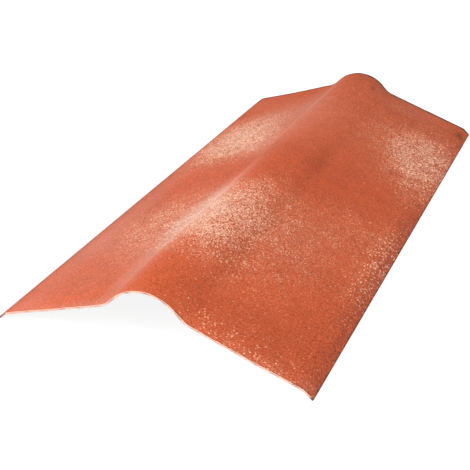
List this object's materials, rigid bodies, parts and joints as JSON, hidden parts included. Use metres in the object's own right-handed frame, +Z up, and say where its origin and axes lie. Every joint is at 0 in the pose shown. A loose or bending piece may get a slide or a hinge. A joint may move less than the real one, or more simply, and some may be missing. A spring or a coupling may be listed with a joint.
{
  "type": "bitumen ridge cap",
  "caption": "Red-painted bitumen fibre ridge cap: a long thin sheet with a rounded crest, flat sloping wings and turned-down long edges, laid over the ridge of a corrugated roof.",
  "frame": {"origin": "on the floor under the middle of the crest, half way along the sheet, with the sheet lying on its two lips", "axes": "+X across the ridge, +Y along the ridge, +Z up"},
  "size_m": [0.485, 1, 0.1055],
  "materials": {
    "painted_bitumen_sheet": "satin brick-red resin paint with pale spray specks on a bitumen-soaked fibre sheet, dark bare bitumen at the long edges, pale fibres at the cut ends"
  },
  "bodies": {
    "root": {"ridge_cap": "painted_bitumen_sheet"}
  },
  "joints": []
}
